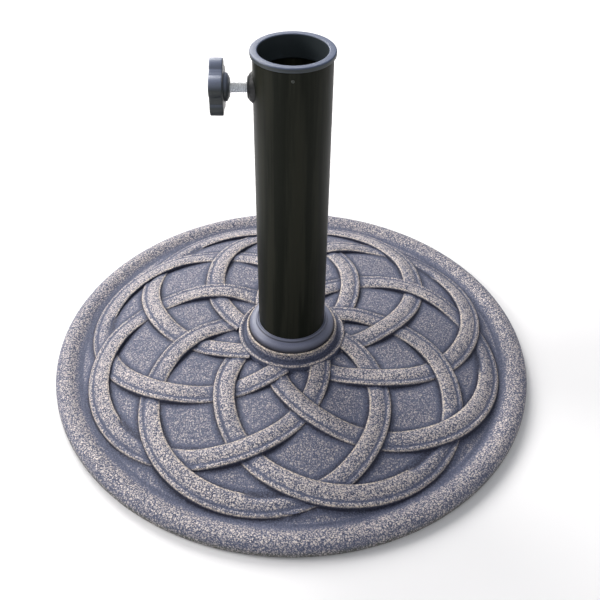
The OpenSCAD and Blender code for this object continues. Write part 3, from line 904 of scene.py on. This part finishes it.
# %% Threads and hexagons
def threaded_rod(radius, root, pitch, start, end, round_steps=40, pitch_steps=9, plain=0.0):
    """A rod along +Z with a helical thread, faded out at both ends."""
    rows = int((end - start) / pitch * pitch_steps)
    rings = []
    for z in np.linspace(start, end, rows + 1):
        into = min(z - start, end - z) / pitch
        depth = (radius - root) * (1 if z < end - plain else max(0.0, 1 - (z - end + plain) / pitch))
        tip = min(1.0, 0.35 + into) if z - start < pitch else 1.0
        ring = []
        for k in range(round_steps):
            a = 2 * math.pi * k / round_steps
            phase = ((z - start) / pitch - k / round_steps) % 1
            tooth = min(1.0, max(0.0, abs(phase - 0.5) * 2.9 - 0.35))
            rr = min(radius - depth * tooth, radius - (1 - tip) * (radius - root))
            ring.append((rr * math.cos(a), rr * math.sin(a), z))
        rings.append(ring)
    return skin(rings)

def hexagon(flats, low, high, bevel_low=0.0, bevel_high=0.0, turn=0.0):
    """A hexagonal head along +Z whose corners are turned off in a cone."""
    corner_r = flats / math.sqrt(3)
    sides = 72
    rings = []
    levels = [(low, bevel_low), (low + bevel_low * 0.5, bevel_low * 0.15), (low + bevel_low, 0.0),
              (high - bevel_high, 0.0), (high - bevel_high * 0.5, bevel_high * 0.15), (high, bevel_high)]
    for z, cut in levels:
        limit = corner_r - cut
        ring = []
        for k in range(sides):
            a = 2 * math.pi * k / sides
            within = (a + math.pi / 6) % (math.pi / 3) - math.pi / 6
            flat_r = flats / 2 / math.cos(within)
            rr = min(flat_r, limit)
            ring.append((rr * math.cos(a + turn), rr * math.sin(a + turn), z))
        if not rings or z > rings[-1][0][2] + 1e-6:
            rings.append(ring)
    return skin(rings)

# %% [markdown]
# The clamp screw is an M8 screw with a hexagon head moulded into the knob. A nylon pad
# clips into its end, so that the screw can turn while the pad stays still on the pole.

# %% Clamp screw and its pad
screw_low, screw_high = span("clamp_screw")
pad_low, pad_high = span("pressure_pad")
screw_tip = -screw_high.x
screw_end = -screw_low.x
head_t = 5.3
thread_end = screw_end - head_t + 0.2
screw = clamp_part("clamp_screw_m8", threaded_rod(4.0, 3.39, 1.25, screw_tip, thread_end, plain=1.0))
combine(screw, [clamp_part("screw_head", hexagon(13, screw_end - head_t, screw_end, 0.6, 0.0))])
socket_end = screw_tip + 4.4
socket = [(0, screw_tip - 1), (1.95, screw_tip - 1), (1.55, screw_tip + 0.5)]
socket += [(1.55, socket_end), (0, socket_end)]
combine(screw, [clamp_part("pad_socket", spin(socket, 32))], how="DIFFERENCE")
finish_piece(screw, ["clamp_screw"], "clamp", zinc_screw)

pad_tip = -pad_high.x
pad_back = -pad_low.x
pad_outline = [(0, pad_tip), (1.9, pad_tip)]
pad_outline += arc(2.3, pad_tip + 0.7, 0.7, -90, 0, 6)
pad_outline += [(3.0, pad_tip + 1.8), (2.8, pad_tip + 2.0), (1.5, pad_tip + 2.0), (1.35, pad_tip + 2.5)]
pad_outline += [(1.35, pad_tip + 3.6), (1.5, pad_tip + 4.2), (1.5, pad_back - 1.0)]
pad_outline += [(0.9, pad_back), (0, pad_back)]
pad = clamp_part("pressure_pad_tip", spin(pad_outline, 48))
finish_piece(pad, ["pressure_pad"], "pad", pad_nylon)

# %% [markdown]
# The star knob has five round lobes joined by round hollows. Its outline is worked out by
# asking, for each direction, how far out a lobe reaches and where a hollow cuts in. The
# edges are then rounded by stepping the outline inwards near both faces.

# %% Star knob
lobe_n = 5
lobe_turn = 63
knob_r = 20.5
lobe_r = 7.8
hollow_r = 6.5
hollow_centre = knob_r + 2.4
body_r = knob_r - 3.9
face_x = -knob_low.x
head_x = face_x - 9.6
hub_x = -knob_high.x

def reach(angle, centre, radius, far):
    """Distance to a circle along a direction, to its far or near side, or None."""
    across = centre * math.sin(angle)
    if abs(across) >= radius or math.cos(angle) <= 0:
        return None
    half = math.sqrt(radius**2 - across**2)
    return centre * math.cos(angle) + (half if far else -half)

def star_radius(angle):
    """Radius of the star's outline in one direction from its middle."""
    sector = 2 * math.pi / lobe_n
    from_lobe = (angle + sector / 2) % sector - sector / 2
    from_hollow = angle % sector - sector / 2
    out = max(body_r, reach(from_lobe, knob_r - lobe_r, lobe_r, True) or 0)
    return min(out, reach(from_hollow, hollow_centre, hollow_r, False) or out)

sides = 320
radii = np.array([star_radius(2 * math.pi * k / sides) for k in range(sides)])
for _ in range(3):
    radii = (np.roll(radii, 1) + 2 * radii + np.roll(radii, -1)) / 4
angles = 2 * np.pi * np.arange(sides) / sides
star = np.column_stack([radii * np.cos(angles), radii * np.sin(angles)])
along = np.roll(star, -1, 0) - np.roll(star, 1, 0)
outward = np.column_stack([along[:, 1], -along[:, 0]])
outward /= np.linalg.norm(outward, axis=1)[:, None]

def star_ring(inset, x):
    """The star's outline, moved inwards, at a place along the screw's axis."""
    ring = star - outward * inset
    turn = -math.radians(lobe_turn)
    c, s = math.cos(turn), math.sin(turn)
    return [(float(px * c - py * s), float(px * s + py * c), x) for px, py in ring]

def round_ring(radius, x):
    """A round ring with as many points as the star, in the same order."""
    turn = -math.radians(lobe_turn)
    return [(radius * math.cos(a + turn), radius * math.sin(a + turn), x) for a in angles]

edge_r = 0.9
knob_rings = [round_ring(6.4, hub_x), round_ring(9.3, hub_x + 1.5), round_ring(9.8, hub_x + 1.9),
              round_ring(10.0, hub_x + 2.5),
              round_ring(10.0, head_x - 0.9), round_ring(10.3, head_x - 0.35), round_ring(10.9, head_x)]
for a in np.linspace(0, 90, 7):
    inset = edge_r * (1 - math.sin(math.radians(a)))
    knob_rings.append(star_ring(inset, head_x + edge_r * (1 - math.cos(math.radians(a)))))
for a in np.linspace(0, 90, 7):
    inset = edge_r * (1 - math.cos(math.radians(a)))
    knob_rings.append(star_ring(inset, face_x - edge_r * (1 - math.sin(math.radians(a)))))
knob_rings.append(round_ring(11.0, face_x))
knob = clamp_part("star_knob", skin(knob_rings))
cap_t = 1.3
cap_r = 9.0
bore = [(0, hub_x - 1), (4.3, hub_x - 1), (4.0, hub_x + 0.6), (4.0, face_x), (0, face_x)]
recess = [(0, face_x - cap_t), (cap_r, face_x - cap_t), (cap_r, face_x - 0.2)]
recess += [(cap_r + 0.4, face_x + 1), (0, face_x + 1)]
cutters = []
for label, cut in (("bore", bore), ("recess", recess)):
    cutters.append(clamp_part(label, spin(cut, 64)))
cutters.append(clamp_part("hex_pocket", hexagon(13, screw_end - head_t, face_x)))
combine(knob, cutters, how="DIFFERENCE")
finish_piece(knob, ["knob"], "clamp", knob_plastic, crease=40)

# %% Cap over the screw's head
cap_outline = [(0, face_x - cap_t), (cap_r - 0.1, face_x - cap_t), (cap_r - 0.1, face_x - 0.55)]
cap_outline += [(cap_r - 0.35, face_x - 0.3), (cap_r * 0.75, face_x - 0.12)]
cap_outline += [(cap_r * 0.4, face_x - 0.03), (0, face_x)]
cap = clamp_part("knob_cap_disc", spin(cap_outline, 72))
finish_piece(cap, ["knob_cap"], "clamp", cap_plastic)

# %% [markdown]
# ## Inside the tube and under the hub
# The tube is held to the casting by one long bolt. It passes up through a steel plate, the
# casting and a rubber gasket, into a nut welded on a plug in the tube's foot.

# %% Bolt, spring washer and clamp plate
bolt_low, bolt_high = span("centre_bolt")
head_top = span("spring_washer")[0].z
plate_low, plate_high = span("clamp_plate")
verts, faces = hexagon(19, bolt_low.z, head_top, 1.0, 0.25)
bolt = build("centre_bolt_m12", [(verts, faces)])
shank = [(0, head_top - 1), (6.0, head_top - 1), (6.0, 43.2), (0, 43.2)]
rod_verts, rod_faces = threaded_rod(6.0, 5.0, 1.75, 43.0, bolt_high.z, 48, 8)
flipped = [(vx, -vy, bolt_high.z + 43.0 - vz) for vx, vy, vz in rod_verts]
combine(bolt, [build("shank", [spin(shank, 48)]), build("thread", [(flipped, rod_faces)])])
finish_piece(bolt, ["centre_bolt"], "stand", zinc_bolt)

washer_low = span("spring_washer")[0]
washer_in = 6.3
washer_out = 10.5
section = [(washer_in, 0.3), (washer_in + 0.3, 0), (washer_out - 0.3, 0), (washer_out, 0.3),
           (washer_out, 2.7), (washer_out - 0.3, 3.0), (washer_in + 0.3, 3.0), (washer_in, 2.7)]
rings = []
for k in range(97):
    a = math.radians(5 + 350 * k / 96)
    rings.append([(rr * math.cos(a + 0.03 * (h - 1.5)), rr * math.sin(a + 0.03 * (h - 1.5)), washer_low.z + h)
                  for rr, h in section])
washer = build("spring_washer_coil", [skin(rings)])
finish_piece(washer, ["spring_washer"], "stand", spring_steel)

plate_outline = [(6.8, plate_low.z), (plate_r - 0.6, plate_low.z), (plate_r, plate_low.z + 0.6),
                 (plate_r, plate_high.z - 0.3), (plate_r - 0.3, plate_high.z), (6.5, plate_high.z),
                 (6.5, plate_low.z + 0.3)]
plate = build("clamp_plate_disc", [spin(plate_outline, 96)])
finish_piece(plate, ["clamp_plate"], "stand", plain_steel)

# %% Gasket, tube plug and its nut
gasket_low, gasket_high = span("hub_gasket")
gasket_outline = [(6.5, gasket_low.z), (28.3, gasket_low.z), (28.5, gasket_low.z + 0.5),
                  (28.5, gasket_high.z - 0.5), (28.3, gasket_high.z), (6.5, gasket_high.z)]
gasket = build("hub_gasket_ring", [spin(gasket_outline, 96)])
finish_piece(gasket, ["hub_gasket"], "stand", gasket_rubber)

plug_low, plug_high = span("tube_plug")
plug_outline = [(6.8, plug_low.z), (26.3, plug_low.z), (tube_in, plug_low.z + 0.7)]
plug_outline += [(tube_in, plug_high.z - 0.7), (26.3, plug_high.z), (6.3, plug_high.z)]
plug_outline += [(6.3, plug_low.z + 0.5)]
plug = build("tube_plug_disc", [spin(plug_outline, 96)])
finish_piece(plug, ["tube_plug"], "stand", plain_steel)

plug_nut_low, plug_nut_high = span("plug_nut")
verts, faces = hexagon(19, plug_nut_low.z, plug_nut_high.z, 0.0, 1.0)
plug_nut = build("plug_nut_m12", [(verts, faces)])
bore = [(0, plug_nut_low.z - 1), (6.0, plug_nut_low.z - 1), (6.0, plug_nut_high.z - 0.6),
        (7.4, plug_nut_high.z + 0.8), (0, plug_nut_high.z + 0.8)]
combine(plug_nut, [build("nut_bore", [spin(bore, 48)])], how="DIFFERENCE")
finish_piece(plug_nut, ["plug_nut"], "stand", plain_steel)

# %% [markdown]
# A plastic cup in the foot of the tube centres the end of the pole and drains rain past
# the bolt. Its mouth is tapered, so that the pole finds its way in.

# %% Lower bush
bush_r = tube_in - 0.08
cup_z = bush_low.z + 18
bush_outline = [
    (pole_r - 3, bush_low.z), (bush_r - 0.5, bush_low.z), (bush_r, bush_low.z + 0.8),
    (bush_r, bush_high.z - 0.3), (bush_r - 0.3, bush_high.z), (pole_r + 1.1, bush_high.z),
    (pole_r, bush_high.z - 2.5), (pole_r, cup_z + 0.8), (pole_r - 0.8, cup_z), (8.4, cup_z),
    (8.0, cup_z - 0.4), (8.0, cup_z - 3), (pole_r - 3.8, cup_z - 3), (pole_r - 3, cup_z - 3.8),
]
bush = build("lower_bush_cup", [spin(bush_outline, 112)])
finish_piece(bush, ["lower_bush"], "stand", bush_plastic)

# %% [markdown]
# ## Feet
# Six rubber feet keep the iron off the paving. Each is held by a pan-head screw and a
# washer sunk in its recess. The rubber's underside has a ring groove for grip.

# %% Rubber feet, washers and screws
screw_head_low = span("foot_screws")[0].z
washer_z, washer_top = span("foot_washers")[0].z, span("foot_washers")[1].z
pad_profile = [
    (6.5, 0.5), (7.0, 0), (8.6, 0), (8.9, 0.7), (9.6, 0.7), (9.9, 0), (11.2, 0), (11.8, 0.5),
    (12.0, 1.2), (11.7, foot_t - 0.4), (11.3, foot_t), (2.7, foot_t), (2.7, washer_top), (6.5, washer_top),
]
washer_profile = [(2.7, washer_z), (5.8, washer_z), (6.0, washer_z + 0.2)]
washer_profile += [(6.0, washer_top), (2.7, washer_top)]
pads = build("foot_pads_rubber", [moved(spin(pad_profile, 64), fx, fy) for fx, fy in foot_spots])
finish_piece(pads, ["foot_pads"], "stand", foot_rubber)
washers = build("foot_washers_flat", [moved(spin(washer_profile, 40), fx, fy) for fx, fy in foot_spots])
finish_piece(washers, ["foot_washers"], "stand", zinc_bolt)

head = [(0, screw_head_low), (2.2, screw_head_low + 0.05), (3.6, screw_head_low + 0.3)]
head += [(4.4, screw_head_low + 0.8), (4.6, washer_z - 0.15), (4.5, washer_z), (0, washer_z)]
thread_verts, thread_faces = threaded_rod(2.5, 1.95, 0.8, washer_z - 0.3, span("foot_screws")[1].z, 24, 7)
turned = [(vx, -vy, span("foot_screws")[1].z + washer_z - 0.3 - vz) for vx, vy, vz in thread_verts]
one_screw = build("one_foot_screw", [spin(head, 40)])
combine(one_screw, [build("foot_thread", [(turned, thread_faces)])])
slots = []
for turn in (0, 90):
    c, s = math.cos(math.radians(turn)), math.sin(math.radians(turn))
    box_rings = []
    for sz, half_l, half_w in ((screw_head_low - 1, 2.6, 0.6), (screw_head_low + 1.2, 1.5, 0.35)):
        corners = [(-half_l, -half_w), (half_l, -half_w), (half_l, half_w), (-half_l, half_w)]
        box_rings.append([(px * c - py * s, px * s + py * c, sz) for px, py in corners])
    slots.append(build(f"slot_{turn}", [skin(box_rings)]))
combine(one_screw, slots, how="DIFFERENCE")
screw_verts = [tuple(vert.co / MM) for vert in one_screw.data.vertices]
shape = screw_verts, [tuple(face.vertices) for face in one_screw.data.polygons]
bpy.data.objects.remove(one_screw)
screws = build("foot_screws_pan", [moved(shape, fx, fy) for fx, fy in foot_spots])
finish_piece(screws, ["foot_screws"], "stand", zinc_bolt)

# %% [markdown]
# ## Floor, light and camera
# A plain pale floor and soft light, strongest from the back left, show the relief of the
# knotwork. The camera looks down on the base from the front.

# %% Floor
floor_half = 6.0
floor_mesh = bpy.data.meshes.new("floor")
corners = [(sx * floor_half, sy * floor_half, 0) for sx, sy in ((-1, -1), (1, -1), (1, 1), (-1, 1))]
floor_mesh.from_pydata(corners, [], [(0, 1, 2, 3)])
floor = bpy.data.objects.new("floor", floor_mesh)
bpy.context.scene.collection.objects.link(floor)
floor_paint = bpy.data.materials.new("floor_paint")
floor_paint.use_nodes = True
floor_paint.node_tree.nodes["Principled BSDF"].inputs["Base Color"].default_value = paint(251, 250, 251)
floor_paint.node_tree.nodes["Principled BSDF"].inputs["Roughness"].default_value = 0.9
floor_mesh.materials.append(floor_paint)

# %% Light
world = bpy.data.worlds.new("studio")
bpy.context.scene.world = world
world.use_nodes = True
world.node_tree.nodes["Background"].inputs["Color"].default_value = (0.95, 0.97, 1.0, 1)
world.node_tree.nodes["Background"].inputs["Strength"].default_value = 0.38

def soft_light(name, place, target, size, power, colour=(1, 1, 1)):
    """A square lamp that faces a point."""
    lamp = bpy.data.lights.new(name, "AREA")
    lamp.size = size
    lamp.energy = power
    lamp.color = colour
    holder = bpy.data.objects.new(name, lamp)
    holder.location = place
    holder.rotation_euler = (Vector(target) - Vector(place)).to_track_quat("-Z", "Y").to_euler()
    bpy.context.scene.collection.objects.link(holder)
    return holder

lamps = [
    soft_light("key", (-0.62, 1.4, 1.3), (0, 0, 0.05), 1.2, 38, (1.0, 0.985, 0.965)),
    soft_light("side", (-1.5, 0.1, 1.0), (0, 0, 0.05), 0.7, 19, (1.0, 0.98, 0.965)),
    soft_light("fill", (0.3, -1.6, 1.6), (0, 0, 0.1), 1.2, 4, (0.94, 0.97, 1.0)),
]

# %% Camera
pitch = math.radians(41.30)
roll = math.radians(0.31)
forward = Vector((0, math.cos(pitch), -math.sin(pitch)))
level = Vector((1, 0, 0))
above = level.cross(forward)
right = math.cos(roll) * level + math.sin(roll) * above
up = math.cos(roll) * above - math.sin(roll) * level
lens = bpy.data.cameras.new("camera")
lens.sensor_width = 36
lens.lens = 50.12
lens.shift_x = 0.01367
lens.clip_start = 0.01
camera = bpy.data.objects.new("camera", lens)
place = Matrix((right, up, -forward)).transposed().to_4x4()
place.translation = (0, -0.5420, 0.5428)
camera.matrix_world = place
bpy.context.scene.collection.objects.link(camera)
bpy.context.scene.camera = camera
bpy.context.scene.view_settings.view_transform = "Standard"
